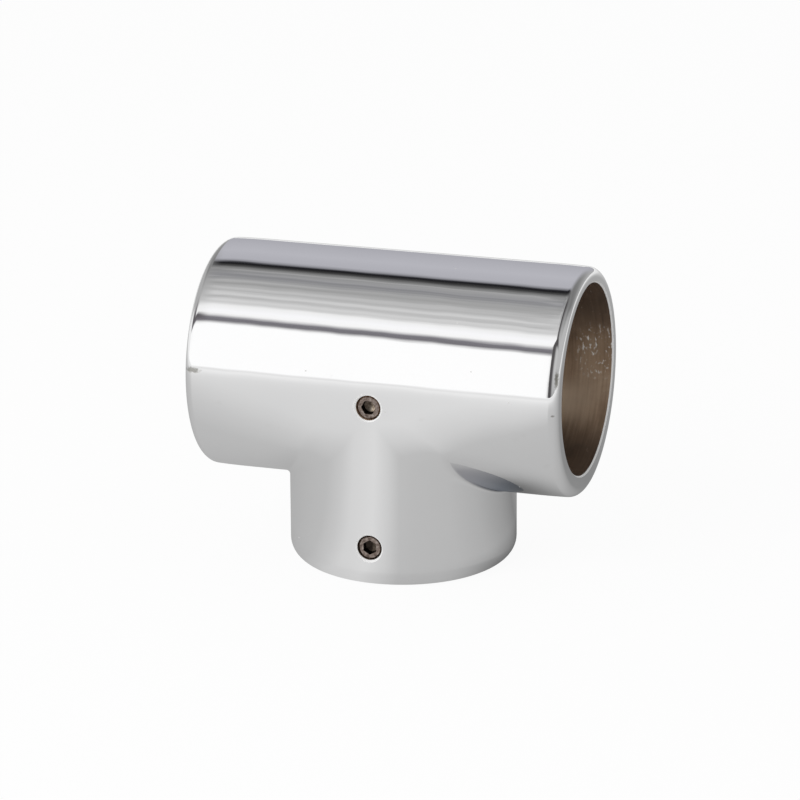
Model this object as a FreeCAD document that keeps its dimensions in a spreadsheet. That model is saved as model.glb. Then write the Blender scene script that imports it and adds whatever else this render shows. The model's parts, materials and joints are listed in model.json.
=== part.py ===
import FreeCAD, Part
import math
import os
import re
import Sketcher
from FreeCAD import Vector

# Tube clamp tee: a cast, bored and polished fitting that joins one round tube to the side of another.
# Frame: +X along the run, the stem points down -Z, the two set screws are on the front, -Y.
# The origin is where the axis of the run bore crosses the axis of the stem. Sizes are millimetres.

SIZES = [
    ("tube_diameter", 38.1, "outside of the tube that the fitting clamps, the 1 1/2 inch size"),
    ("tube_clearance", 0.2, "gap all round between that tube and either bore"),
    ("run_wall", 3.85, "mean wall of the run, from bore to polished outside"),
    ("bore_rise", 0.65, "how far the run bore sits above the middle of the run's outside"),
    ("run_length", 77.0, "end to end of the run"),
    ("stem_step", 0.2, "how much smaller the stem's outside radius is than the run's, so that they blend"),
    ("stem_reach", 39.75, "from the axis of the run bore down to the end face of the stem"),
    ("junction_radius", 0.8, "blend where the stem meets the run"),
    ("run_rim_radius", 1.9, "rounding of both ends of the run"),
    ("stem_rim_inset", 2.1, "how far the rounding of the stem's end comes in"),
    ("stem_rim_height", 3.3, "how far the rounding of the stem's end goes up"),
    ("mouth_chamfer", 0.3, "chamfer at the three mouths of the bores"),
    ("screw_diameter", 5.0, "outside of a set screw, size M5"),
    ("screw_clearance", 0.05, "gap all round a set screw in its hole, where the thread runs"),
    ("screw_recess", 0.6, "how deep the outer end of a set screw lies under the surface"),
    ("point_gap", 0.2, "how far the point of the stem's set screw stays out of the stem bore"),
    ("screw_chamfer", 0.35, "chamfer at both ends of a set screw"),
    ("cup_diameter", 2.5, "mouth of the hollow point that bites the tube"),
    ("cup_depth", 0.5, "depth of the hollow point"),
    ("key_width", 2.5, "hexagonal socket across its flats"),
    ("key_depth", 1.5, "depth of the hexagonal socket"),
    ("drill_angle", 120.0, "full angle of the drill point below the socket, in degrees"),
    ("hole_edge_break", 0.45, "chamfer round the mouth of each screw hole"),
    ("run_screw_drop", 2.45, "axis of the run's set screw below the axis of the run bore"),
    ("stem_screw_height", 8.1, "axis of the stem's set screw above the stem's end face"),
    ("cut_margin", 2.0, "how far a cut runs on past the surface that it opens"),
]

WORKED_OUT = [
    ("bore_radius", "tube_diameter / 2 + tube_clearance"),
    ("run_radius", "bore_radius + run_wall"),
    ("stem_radius", "run_radius - stem_step"),
    ("half_run", "run_length / 2"),
    ("run_rim_bevel", "run_rim_radius * (1 - cos(45))"),
    ("screw_radius", "screw_diameter / 2"),
    ("screw_hole_radius", "screw_radius + screw_clearance"),
    ("key_inner_radius", "key_width / 2"),
    ("key_corner_radius", "key_width / sqrt(3)"),
    ("key_point", "key_depth + key_inner_radius / tan(drill_angle / 2)"),
    ("stem_screw_drop", "stem_reach - stem_screw_height"),
    ("run_screw_front", "sqrt(run_radius ^ 2 - (run_screw_drop - bore_rise) ^ 2)"),
    ("screw_length", "stem_radius - bore_radius - screw_recess - point_gap"),
]

HEX_SIDES = 6
RUN_SOCKET_TURN = 0  # degrees from level to a corner of the socket, so that a flat is at the bottom
STEM_SOCKET_TURN = 30  # the same, so that a corner is at the bottom
ON_AXIS = 1e-9  # a corner nearer than this to an axis of its sketch lies on it
NAMES = {alias for alias, *_ in SIZES + WORKED_OUT}

doc = FreeCAD.newDocument("tube_clamp_tee")
sheet = doc.addObject("Spreadsheet::Sheet", "sizes")


def fill_sheet():
    """Writes the driving sizes and, under them, the sizes worked out from them."""
    for row, (alias, size, meaning) in enumerate(SIZES, start=1):
        sheet.set(f"A{row}", meaning)
        sheet.set(f"B{row}", str(size))
        sheet.setAlias(f"B{row}", alias)
    for row, (alias, formula) in enumerate(WORKED_OUT, start=len(SIZES) + 1):
        sheet.set(f"A{row}", "worked out")
        sheet.set(f"B{row}", "=" + formula)
        sheet.setAlias(f"B{row}", alias)
    doc.recompute()


def in_sheet(formula):
    """The formula with each alias written as the sheet's cell, as other objects have to name it."""
    return re.sub(r"[a-z_]+", lambda word: "sizes." + word[0] if word[0] in NAMES else word[0], formula)


def value(formula):
    """The present value of a formula."""
    return float(sheet.evalExpression(in_sheet(formula)))


def origin_plane(body, role):
    """One of the body's own three planes."""
    return next(plane for plane in body.Origin.OriginFeatures if plane.Role == role)


def new_sketch(body, name, role, **offsets):
    """A sketch on one of the body's planes; offsets such as y="-bore_rise" shift it in that plane."""
    sketch = body.newObject("Sketcher::SketchObject", name)
    sketch.AttachmentSupport = (origin_plane(body, role), "")
    sketch.MapMode = "FlatFace"
    for letter, formula in offsets.items():
        sketch.setExpression(f"AttachmentOffset.Base.{letter}", in_sheet(formula))
    return sketch


def arc_between(start, end, tangent):
    """The arc from start to end that leaves start along the tangent direction."""
    chord = end - start
    side = Vector(-tangent.y, tangent.x, 0)
    side.normalize()
    radius = chord.Length ** 2 / (2 * chord.dot(side))
    centre = start + side * radius
    turn = math.copysign(1, radius)
    angles = [math.atan2(point.y - centre.y, point.x - centre.x) for point in (start, end)]
    if turn < 0:
        angles.reverse()
    circle = Part.Circle(centre, Vector(0, 0, 1), abs(radius))
    return Part.ArcOfCircle(circle, *angles), turn > 0


def draw_outline(sketch, corners):
    """Draws a closed outline. Each corner is (x formula, y formula); a corner with the word "arc into"
    is reached by an arc tangent to the line before it, and one with "arc out" by an arc tangent to
    the line after it. Every corner is held by two dimensions bound to the sheet."""
    count = len(corners)
    points = [Vector(value(corner[0]), value(corner[1]), 0) for corner in corners]
    ends = []
    for i in range(count):
        here, there = points[i], points[(i + 1) % count]
        kind = corners[(i + 1) % count][2:]
        if kind == ("arc into",):
            arc, forward = arc_between(here, there, here - points[i - 1])
            line = sketch.addGeometry(arc)
            ends.append((line, 1, 2) if forward else (line, 2, 1))
        elif kind == ("arc out",):
            arc, forward = arc_between(there, here, there - points[(i + 2) % count])
            line = sketch.addGeometry(arc)
            ends.append((line, 2, 1) if forward else (line, 1, 2))
        else:
            line = sketch.addGeometry(Part.LineSegment(here, there))
            ends.append((line, 1, 2))
    for i in range(count):
        before, after = ends[i - 1], ends[i]
        tangent = corners[(i + 1) % count][2:] == ("arc into",) or corners[i][2:] == ("arc out",)
        join = "Tangent" if tangent else "Coincident"
        sketch.addConstraint(Sketcher.Constraint(join, before[0], before[2], after[0], after[1]))
        for axis, letter, formula in ((-2, "X", corners[i][0]), (-1, "Y", corners[i][1])):
            if formula == "0":
                sketch.addConstraint(Sketcher.Constraint("PointOnObject", after[0], after[1], axis))
            else:
                place = value(formula)
                dimension = Sketcher.Constraint(f"Distance{letter}", -1, 1, after[0], after[1], place)
                index = sketch.addConstraint(dimension)
                sketch.renameConstraint(index, f"corner_{i}_{letter.lower()}")
                sketch.setExpression(f"Constraints.corner_{i}_{letter.lower()}", in_sheet(formula))


def turn_round(body, kind, name, sketch, axis):
    """Turns a sketch a full circle round one of its own axes, to add a solid or to cut one. Each line of
    the sketch keeps a face of its own, also where two lie on one cylinder."""
    feature = body.newObject("PartDesign::" + kind, name)
    feature.Refine = False
    feature.Profile = sketch
    feature.ReferenceAxis = (sketch, [axis])
    feature.Angle = 360
    doc.recompute()
    return feature


def turned_body(name, role, axis, corners, **offsets):
    """A body that is one outline turned a full circle."""
    body = doc.addObject("PartDesign::Body", name)
    sketch = new_sketch(body, name + "_outline", role, **offsets)
    draw_outline(sketch, corners)
    turn_round(body, "Revolution", name + "_turned", sketch, axis)
    return body


def run_blank():
    """The outside of the run: a bar with rounded ends, set lower than the bore by the bore's rise. Each
    rounding is a quarter circle in two halves, which meet at 45 degrees."""
    return turned_body("run_blank", "XZ_Plane", "H_Axis", [
        ("-half_run", "0"),
        ("half_run", "0"),
        ("half_run", "run_radius - run_rim_radius"),
        ("half_run - run_rim_bevel", "run_radius - run_rim_bevel", "arc into"),
        ("half_run - run_rim_radius", "run_radius", "arc out"),
        ("-half_run + run_rim_radius", "run_radius"),
        ("-half_run + run_rim_bevel", "run_radius - run_rim_bevel", "arc into"),
        ("-half_run", "run_radius - run_rim_radius", "arc out"),
    ], y="-bore_rise")


def stem_blank():
    """The outside of the stem, from the middle of the run down to its rounded end."""
    return turned_body("stem_blank", "XZ_Plane", "V_Axis", [
        ("0", "-bore_rise"),
        ("0", "-stem_reach"),
        ("stem_radius - stem_rim_inset", "-stem_reach"),
        ("stem_radius", "-stem_reach + stem_rim_height", "arc out"),
        ("stem_radius", "-bore_rise"),
    ])


def run_bore():
    """What is bored out of the run, with a chamfer at each mouth. Its wall is three faces: a whole round
    one in each arm, and between them the one that the stem bore breaks into."""
    return turned_body("run_bore", "XZ_Plane", "H_Axis", [
        ("-half_run - cut_margin", "0"),
        ("half_run + cut_margin", "0"),
        ("half_run + cut_margin", "bore_radius + mouth_chamfer + cut_margin"),
        ("half_run - mouth_chamfer", "bore_radius"),
        ("stem_radius", "bore_radius"),
        ("-stem_radius", "bore_radius"),
        ("-half_run + mouth_chamfer", "bore_radius"),
        ("-half_run - cut_margin", "bore_radius + mouth_chamfer + cut_margin"),
    ])


def stem_bore():
    """What is bored out of the stem, up to the axis of the run bore."""
    return turned_body("stem_bore", "XZ_Plane", "V_Axis", [
        ("0", "0"),
        ("0", "-stem_reach - cut_margin"),
        ("bore_radius + mouth_chamfer + cut_margin", "-stem_reach - cut_margin"),
        ("bore_radius", "-stem_reach + mouth_chamfer"),
        ("bore_radius", "0"),
    ])


def screw_hole(name, front, drop):
    """A hole through the front wall only, with a broken edge, on an axis along Y at the given drop."""
    return turned_body(name, "XY_Plane", "V_Axis", [
        ("0", f"-{front} - cut_margin"),
        ("screw_hole_radius + hole_edge_break + cut_margin", f"-{front} - cut_margin"),
        ("screw_hole_radius", f"-{front} + hole_edge_break"),
        ("screw_hole_radius", "-bore_radius + 2 * cut_margin"),
        ("0", "-bore_radius + 2 * cut_margin"),
    ], z="-" + drop)


def blend_junction(blanks):
    """Rounds the saddle where the stem meets the run: the one edge that is neither a circle nor a line.
    Over the front and back the two outsides are almost tangent, and the blend narrows to nothing there."""
    straight_or_round = (Part.Circle, Part.Line, Part.LineSegment)
    saddle = [edge for edge in blanks.Edges if not isinstance(edge.Curve, straight_or_round)]
    return blanks.makeFillet(value("junction_radius"), saddle)


def make_tee():
    """The fitting: run and stem in one, blended where they meet, then bored and drilled."""
    joined = doc.addObject("Part::Fuse", "joined_blanks")
    joined.Base = run_blank()
    joined.Tool = stem_blank()
    joined.Refine = False
    doc.recompute()

    hollow = doc.addObject("Part::MultiFuse", "bores_and_holes")
    hollow.Refine = False
    hollow.Shapes = [
        run_bore(),
        stem_bore(),
        screw_hole("run_screw_hole", "run_screw_front", "run_screw_drop"),
        screw_hole("stem_screw_hole", "stem_radius", "stem_screw_drop"),
    ]
    doc.recompute()

    tee = doc.addObject("Part::Feature", "tee_body")
    tee.Label = "tee_body"
    tee.Shape = blend_junction(joined.Shape).cut(hollow.Shape).Solids[0]
    return tee


def make_set_screw(name, front, drop, socket_turn):
    """A hex socket set screw with a hollow point, made with its outer end at its own origin. Both are as
    long as the thinner wall, the stem's, leaves room for, and each is screwed in to its own angle."""
    body = doc.addObject("PartDesign::Body", name)
    body.Label = name

    shank = new_sketch(body, name + "_outline", "YZ_Plane")
    draw_outline(shank, [
        ("0", "0"),
        ("0", "screw_radius - screw_chamfer"),
        ("screw_chamfer", "screw_radius"),
        ("screw_length - screw_chamfer", "screw_radius"),
        ("screw_length", "screw_radius - screw_chamfer"),
        ("screw_length", "cup_diameter / 2"),
        ("screw_length - cup_depth", "0"),
    ])
    turn_round(body, "Revolution", name + "_shank", shank, "H_Axis")

    socket = new_sketch(body, name + "_socket_outline", "XZ_Plane")
    corners = []
    for i in range(HEX_SIDES):
        turn = 360 / HEX_SIDES * i + socket_turn
        place = (f"key_corner_radius * cos({turn})", f"key_corner_radius * sin({turn})")
        corners.append(tuple("0" if abs(value(formula)) < ON_AXIS else formula for formula in place))
    draw_outline(socket, corners)
    pocket = body.newObject("PartDesign::Pocket", name + "_socket")
    pocket.Profile = socket
    pocket.setExpression("Length", in_sheet("key_depth"))
    doc.recompute()

    drill = new_sketch(body, name + "_drill_outline", "YZ_Plane")
    draw_outline(drill, [
        ("0", "0"),
        ("0", "key_corner_radius"),
        ("key_corner_radius - key_inner_radius", "key_inner_radius"),
        ("key_depth", "key_inner_radius"),
        ("key_point", "0"),
    ])
    turn_round(body, "Groove", name + "_drill", drill, "H_Axis")

    body.setExpression("Placement.Base.y", in_sheet(f"-{front} + screw_recess"))
    body.setExpression("Placement.Base.z", in_sheet("-" + drop))
    doc.recompute()
    return body


def check(bodies):
    """Stops unless every object of the document worked out and every body is one valid solid."""
    for thing in doc.Objects:
        if "Invalid" in thing.State or "Error" in thing.State:
            raise RuntimeError(f"{thing.Name} did not work out: {thing.State}")
    for body in bodies:
        if body.Shape.isNull() or not body.Shape.isValid() or len(body.Shape.Solids) != 1:
            raise RuntimeError(f"{body.Label} is not one valid solid")


fill_sheet()
pieces = [
    make_tee(),
    make_set_screw("run_set_screw", "run_screw_front", "run_screw_drop", RUN_SOCKET_TURN),
    make_set_screw("stem_set_screw", "stem_radius", "stem_screw_drop", STEM_SOCKET_TURN),
]
doc.recompute()
check(pieces)
os.makedirs("parts", exist_ok=True)
for piece in pieces:
    piece.Shape.exportStep(f"parts/{piece.Label}.step")
    box = piece.Shape.optimalBoundingBox(False, False)
    print(piece.Label, "volume", round(piece.Shape.Volume, 2), "mm3, box", [
        round(side, 2) for side in (box.XMin, box.XMax, box.YMin, box.YMax, box.ZMin, box.ZMax)
    ])
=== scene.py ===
# %% [markdown]
# A tube clamp tee, chrome on brass
#
# The real thing is one brass casting: a straight run that a tube passes through, and a short stem that
# takes the end of a second tube. It is bored, polished and plated, and two hex socket set screws in its
# front hold the tubes. This lesson dresses the solid model of that fitting for a studio picture. The
# solid gives every size, so the first step loads it and reads the sizes from it.

# %% Load the solid model
import json
import math

import bmesh
import bpy
import numpy as np
from mathutils import Matrix, Vector


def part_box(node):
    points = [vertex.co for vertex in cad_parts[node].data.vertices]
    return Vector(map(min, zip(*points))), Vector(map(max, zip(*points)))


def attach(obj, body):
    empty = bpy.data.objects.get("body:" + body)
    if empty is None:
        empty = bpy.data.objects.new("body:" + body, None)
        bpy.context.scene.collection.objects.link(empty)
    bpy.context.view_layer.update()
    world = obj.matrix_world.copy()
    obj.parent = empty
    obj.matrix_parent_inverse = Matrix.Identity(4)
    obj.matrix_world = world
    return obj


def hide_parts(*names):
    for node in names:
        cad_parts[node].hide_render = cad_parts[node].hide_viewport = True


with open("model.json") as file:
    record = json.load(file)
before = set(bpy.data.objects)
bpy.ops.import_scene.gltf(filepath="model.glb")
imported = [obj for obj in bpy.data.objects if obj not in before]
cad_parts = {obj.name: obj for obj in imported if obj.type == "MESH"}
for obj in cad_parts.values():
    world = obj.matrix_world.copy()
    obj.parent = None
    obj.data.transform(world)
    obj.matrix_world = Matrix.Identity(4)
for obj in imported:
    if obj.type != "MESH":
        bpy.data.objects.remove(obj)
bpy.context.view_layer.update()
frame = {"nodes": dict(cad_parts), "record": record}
MM = 0.001
print("solid nodes:", sorted(frame["nodes"]))

# %% Sizes read from the solid
tee_low, tee_high = (np.array(corner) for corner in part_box("tee_body"))
mounts = {mount["name"]: mount for mount in frame["record"]["mounts"]}
RUN_RADIUS = (tee_high[1] - tee_low[1]) / 2
HALF_RUN = (tee_high[0] - tee_low[0]) / 2
AXIS_Z = tee_high[2] - RUN_RADIUS
STEM_END_Z = tee_low[2]
BORE_RADIUS = mounts["run_bore"]["dims"]["r_mm"] * MM
print(f"run {RUN_RADIUS / MM:.2f} mm in radius, its outside {-AXIS_Z / MM:.2f} mm below the bore axis")
print(f"bore {BORE_RADIUS / MM:.2f} mm in radius, stem end at {STEM_END_Z / MM:.2f} mm")

# %% Small forms that the box doesn't tell
STEM_RADIUS = RUN_RADIUS - 0.2 * MM
BLEND_RADIUS = 0.8 * MM
FRONT_BLEND = 22 * MM
RIM_WIDTH = 1.9 * MM
CROWN_WIDTH = 8 * MM
CROWN_TILT = math.radians(2.7)
STEM_RIM_INSET = 2.1 * MM
STEM_RIM_HEIGHT = 3.3 * MM
MOUTH_CHAMFER = 0.3 * MM
HOLE_RADIUS = 2.55 * MM
HOLE_EDGE_BREAK = 0.45 * MM
EDGE_LEAN = (math.radians(12), math.radians(42))
print(f"stem {STEM_RADIUS / MM:.1f} mm in radius, screw holes {2 * HOLE_RADIUS / MM:.1f} mm wide")

# %% [markdown]
# The camera
#
# The picture was taken from the front, a little from the right and from above, through a long lens. The
# camera is placed by those angles and its distance from the middle of the run, and then slid sideways and
# up in its own plane, so that nothing leans. Nothing here depends on the size of the picture. The plain
# view transform shows every level as it was worked out.

# %% Camera
AZIMUTH, ELEVATION, ROLL = (math.radians(angle) for angle in (17.723, 18.225, -0.356))
DISTANCE = 900.0 * MM
SLIDE_RIGHT = -0.57 * MM
SLIDE_UP = -6.90 * MM
LENS, SENSOR = 202.0, 36.0

back = Vector((math.sin(AZIMUTH) * math.cos(ELEVATION), -math.cos(AZIMUTH) * math.cos(ELEVATION),
               math.sin(ELEVATION)))
level_right = Vector((math.cos(AZIMUTH), math.sin(AZIMUTH), 0))
level_up = back.cross(level_right)
right = level_right * math.cos(ROLL) + level_up * math.sin(ROLL)
up = level_up * math.cos(ROLL) - level_right * math.sin(ROLL)

scene = bpy.context.scene
camera_data = bpy.data.cameras.new("camera")
camera_data.lens = LENS
camera_data.sensor_width = SENSOR
camera_data.clip_start, camera_data.clip_end = 0.05, 60.0
camera = bpy.data.objects.new("camera", camera_data)
place = Vector((0, 0, AXIS_Z)) + back * DISTANCE + right * SLIDE_RIGHT + up * SLIDE_UP
camera.matrix_world = Matrix((right, up, back)).transposed().to_4x4()
camera.location = place
scene.collection.objects.link(camera)
scene.camera = camera
scene.view_settings.view_transform = "Standard"
print("camera at", [round(x, 3) for x in place], "m, view", scene.view_settings.view_transform)

# %% [markdown]
# Surfaces from numpy
#
# Every face of the fitting is a piece of a simple surface: cylinders, rings, tori, cones and one rolling
# blend. Each is worked out as a grid of points over two parameters. Neighbouring patches share the same
# parameter values at their common edge, so merging equal points closes the skin with no gaps. A mirror
# finish shows every error of a normal, so each patch also has a zone number, and the normals are worked
# out afterwards from that zone's own formula instead of from the facets.

# %% Helpers for grids
ROUND = 180
MERGE = 0.001 * MM


def stack(x, y, z):
    """Points from coordinate arrays of any shapes that fit together."""
    return np.stack(np.broadcast_arrays(x, y, z), axis=-1)


def unit(vectors):
    """The vectors at length one."""
    return vectors / np.linalg.norm(vectors, axis=-1, keepdims=True)


def between(first, last, steps):
    """Rows that go evenly from the points first to the points last, both included."""
    share = np.linspace(0, 1, steps + 1)[:, None, None]
    return first * (1 - share) + last * share


def read(items, name, kind=float, width=1):
    """One value of every item of a mesh as an array, with a row for each item if the value is a vector."""
    values = np.empty(len(items) * width, kind)
    items.foreach_get(name, values)
    return values.reshape(-1, width) if width > 1 else values


def mesh_from_patches(name, patches):
    """One mesh from (zone, points) patches, each an a by b grid of quads, with equal points merged. The
    zone number of every face is kept in its material index."""
    points, quads, zones = [], [], []
    start = 0
    for zone, grid in patches:
        rows, columns = grid.shape[:2]
        index = start + np.arange(rows * columns).reshape(rows, columns)
        corners = (index[:-1, :-1], index[1:, :-1], index[1:, 1:], index[:-1, 1:])
        quads.append(np.stack(corners, axis=-1).reshape(-1, 4))
        zones.append(np.full(len(quads[-1]), zone))
        points.append(grid.reshape(-1, 3))
        start += rows * columns
    points, quads, zones = np.concatenate(points), np.concatenate(quads), np.concatenate(zones)
    mesh = bpy.data.meshes.new(name)
    mesh.vertices.add(len(points))
    mesh.vertices.foreach_set("co", points.ravel())
    mesh.loops.add(quads.size)
    mesh.loops.foreach_set("vertex_index", quads.ravel())
    mesh.polygons.add(len(quads))
    mesh.polygons.foreach_set("loop_start", np.arange(0, quads.size, 4))
    mesh.update(calc_edges=True)
    mesh.polygons.foreach_set("material_index", zones)
    close_up(mesh)
    return mesh


def close_up(mesh):
    """Merges equal points, drops what collapsed, points the faces outwards and says if it is closed."""
    work = bmesh.new()
    work.from_mesh(mesh)
    bmesh.ops.remove_doubles(work, verts=work.verts, dist=MERGE)
    bmesh.ops.dissolve_degenerate(work, edges=work.edges, dist=MERGE)
    bmesh.ops.recalc_face_normals(work, faces=work.faces)
    open_edges = sum(not edge.is_manifold for edge in work.edges)
    work.to_mesh(mesh)
    work.free()
    print(mesh.name, "faces", len(mesh.polygons), "open edges", open_edges)


# %% [markdown]
# The outside of the run and the stem
#
# Run and stem are two cylinders of nearly the same radius that meet in a saddle. A ball that rolls in the
# corner softens it: 0.8 mm in radius at the sides, and far larger at the front and back. For each direction
# round the stem the ball's centre is known in closed form: it is one ball radius outside both cylinders.
# The ball touches the stem and the run at two points, and the blend is the short arc between them. The grid
# of the run starts at the touching points and goes over the top, so all three surfaces share their edges.

# %% Junction of run and stem
turn = np.linspace(0, 2 * np.pi, ROUND + 1)
cos_turn, sin_turn = np.cos(turn), np.sin(turn)


def ball_radius(angle):
    """Radius of the ball at each angle round the stem: small at the sides, and large at the front and
    back, where the wheel has softened the corner until it can hardly be seen."""
    return BLEND_RADIUS + FRONT_BLEND * np.sin(angle) ** 8


def ball_centres(angle):
    """Centres of the ball: one ball radius outside the stem and outside the run, and below the run."""
    radius = ball_radius(angle)
    from_stem_axis = STEM_RADIUS + radius
    y = from_stem_axis * np.sin(angle)
    below_run_axis = np.sqrt((RUN_RADIUS + radius) ** 2 - y ** 2)
    return stack(from_stem_axis * np.cos(angle), y, AXIS_Z - below_run_axis)


ball = ball_centres(turn)
to_stem = stack(-cos_turn, -sin_turn, 0.0)
to_run = unit(stack(0.0, -ball[:, 1], AXIS_Z - ball[:, 2]))


def blend_strip(steps):
    """The arc on the ball from its touching point on the stem to the one on the run, at even angles."""
    spread = np.arccos(np.clip((to_stem * to_run).sum(axis=-1), -1, 1))[None, :, None]
    share = np.linspace(0, 1, steps + 1)[:, None, None]
    arc = (np.sin((1 - share) * spread) * to_stem + np.sin(share * spread) * to_run) / np.sin(spread)
    return ball[None] + ball_radius(turn)[:, None] * arc


blend = blend_strip(6)
stem_top = blend[0]
print("the blend meets the stem between z", np.round(stem_top[:, 2].min() / MM, 2), "and",
      np.round(stem_top[:, 2].max() / MM, 2), "mm")

# %% Grids of the run


def run_rings(x, radius, axis_z, foot):
    """Arcs round the run's axis, one for each x. Each starts and ends foot radians from straight down,
    front and back, and goes over the top."""
    share = np.linspace(0, 1, ROUND + 1)[None, :]
    x, foot, radius = (np.broadcast_to(value, np.shape(x))[:, None] for value in (x, foot, radius))
    angle = foot + share * (2 * np.pi - 2 * foot)
    return stack(x, -radius * np.sin(angle), axis_z - radius * np.cos(angle))


RIM_START = HALF_RUN - RIM_WIDTH
CROWN_START = RIM_START - CROWN_WIDTH
RIM_ARC = RIM_WIDTH / (1 - math.sin(CROWN_TILT))


def end_tilt(x):
    """How far the outside leans towards the end at a distance x from the middle: nothing up to the crown,
    then growing with the square of the way along it, then the rounding of the rim up to a right angle."""
    crown = CROWN_TILT * np.clip((x - CROWN_START) / CROWN_WIDTH, 0, 1) ** 2
    rim = np.arcsin(np.clip((x - HALF_RUN + RIM_ARC) / RIM_ARC, 0, 1))
    return np.where(x > RIM_START, rim, crown)


def outside_radius(x):
    """Radius of the run's outside there, which falls as the lean says: a cubic, then the rim's arc."""
    way = np.clip((x - CROWN_START) / CROWN_WIDTH, 0, 1)
    crown = RUN_RADIUS - CROWN_TILT * CROWN_WIDTH / 3 * way ** 3
    tilt = end_tilt(x)
    return np.where(x > RIM_START, crown - RIM_ARC * (math.cos(CROWN_TILT) - np.cos(tilt)), crown)


half_turn = turn[:ROUND // 2 + 1]
half_ball = ball_radius(half_turn)
ball_x = (STEM_RADIUS + half_ball) * np.cos(half_turn)
foot_sine = (STEM_RADIUS + half_ball) * np.sin(half_turn) / (RUN_RADIUS + half_ball)
outside_foot = np.arcsin(np.clip(foot_sine, 0, 1))
over_stem = run_rings(ball_x, RUN_RADIUS, AXIS_Z, outside_foot)
arm_x = np.concatenate((np.linspace(ball_x[0], CROWN_START, 5), np.linspace(CROWN_START, RIM_START, 9)[1:]))
rim_x = HALF_RUN - RIM_ARC * (1 - np.sin(np.linspace(CROWN_TILT, np.pi / 2, 13)))

SIDE, RIM, RING, MOUTH, BORE, STEM, BLEND, STEM_RIM, STEM_RING, STEM_MOUTH, STEM_BORE, EDGE, WALL = range(13)


def mouth_ring(side, inset, radius):
    """The circle of that radius round the bore's axis, at that distance in from the end of the run."""
    return run_rings(np.array([side * (HALF_RUN - inset)]), radius, 0.0, 0.0)


patches = [(BLEND, blend), (SIDE, over_stem)]
bore_foot = np.minimum(half_turn, np.pi - half_turn)
patches.append((BORE, run_rings(BORE_RADIUS * np.cos(half_turn), BORE_RADIUS, 0.0, bore_foot)))
for side in (-1, 1):
    patches.append((SIDE, run_rings(side * arm_x, outside_radius(arm_x), AXIS_Z, 0.0)))
    rim = run_rings(side * rim_x, outside_radius(rim_x), AXIS_Z, 0.0)
    patches.append((RIM, rim))
    flat_out = rim[-1:]
    flat_in = mouth_ring(side, 0.0, BORE_RADIUS + MOUTH_CHAMFER)
    mouth_in = mouth_ring(side, MOUTH_CHAMFER, BORE_RADIUS)
    bore_start = mouth_ring(side, HALF_RUN - BORE_RADIUS, BORE_RADIUS)
    patches.append((RING, between(flat_out, flat_in, 2)))
    patches.append((MOUTH, between(flat_in, mouth_in, 2)))
    patches.append((BORE, between(mouth_in, bore_start, 8)))
print("patches of the run:", len(patches))

# %% Grids of the stem
rim_arc = (STEM_RIM_INSET ** 2 + STEM_RIM_HEIGHT ** 2) / (2 * STEM_RIM_INSET)
rim_bend = np.linspace(0, math.asin(STEM_RIM_HEIGHT / rim_arc), 11)[:, None]


def stem_rings(radius, z):
    """Circles round the stem's axis."""
    return stack(radius * cos_turn, radius * sin_turn, z)


def stem_rim():
    """The rounding of the stem's end: an arc tangent to its side, turned round its axis."""
    radius = STEM_RADIUS - rim_arc + rim_arc * np.cos(rim_bend)
    return stem_rings(radius, STEM_END_Z + STEM_RIM_HEIGHT - rim_arc * np.sin(rim_bend))


bore_top = -BORE_RADIUS * np.abs(cos_turn)
side_end = stem_rings(STEM_RADIUS, STEM_END_Z + STEM_RIM_HEIGHT)
ring_out = stem_rings(STEM_RADIUS - STEM_RIM_INSET, STEM_END_Z)
ring_in = stem_rings(BORE_RADIUS + MOUTH_CHAMFER, STEM_END_Z)
mouth_top = stem_rings(BORE_RADIUS, STEM_END_Z + MOUTH_CHAMFER)
bore_end = stem_rings(BORE_RADIUS, bore_top)
patches += [
    (STEM, between(stem_top[None], side_end[None], 12)),
    (STEM_RIM, stem_rim()),
    (STEM_RING, between(ring_out[None], ring_in[None], 2)),
    (STEM_MOUTH, between(ring_in[None], mouth_top[None], 2)),
    (STEM_BORE, between(mouth_top[None], bore_end[None], 12)),
]
skin = mesh_from_patches("tee_skin", patches)

# %% [markdown]
# The two screw holes
#
# On the bench each hole is drilled and tapped through the front wall, and then its edge is broken with a
# countersink. Here one turned cutter does the same: a cylinder that widens in a 45 degree cone where it
# leaves the metal. An exact boolean cuts it out, and the result is kept as a plain mesh. The zone numbers
# survive the cut because all three meshes get one empty material slot for each zone.

# %% Turned cutter for a screw hole
HOLE_STEPS = 96
HOLE_BOTTOM = -15.25 * MM
CUTTER_MARGIN = 2 * MM
LIP_RINGS, LIP_OVER = 8, 0.1 * MM
SCREW_NAMES = ("run_set_screw", "stem_set_screw")
screw_boxes = {name: [np.array(corner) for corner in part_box(name)] for name in SCREW_NAMES}
screw_axis_z = {name: (low[2] + high[2]) / 2 for name, (low, high) in screw_boxes.items()}
hole_angle = np.linspace(0, 2 * np.pi, HOLE_STEPS + 1)


def turned(radius, y, axis_z):
    """Rings round an axis along Y: one radius, or one row of radii, for each y."""
    radius = np.asarray(radius, float)
    radius = radius if radius.ndim == 2 else radius[:, None]
    return stack(radius * np.cos(hole_angle), np.asarray(y)[:, None], axis_z + radius * np.sin(hole_angle))


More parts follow.
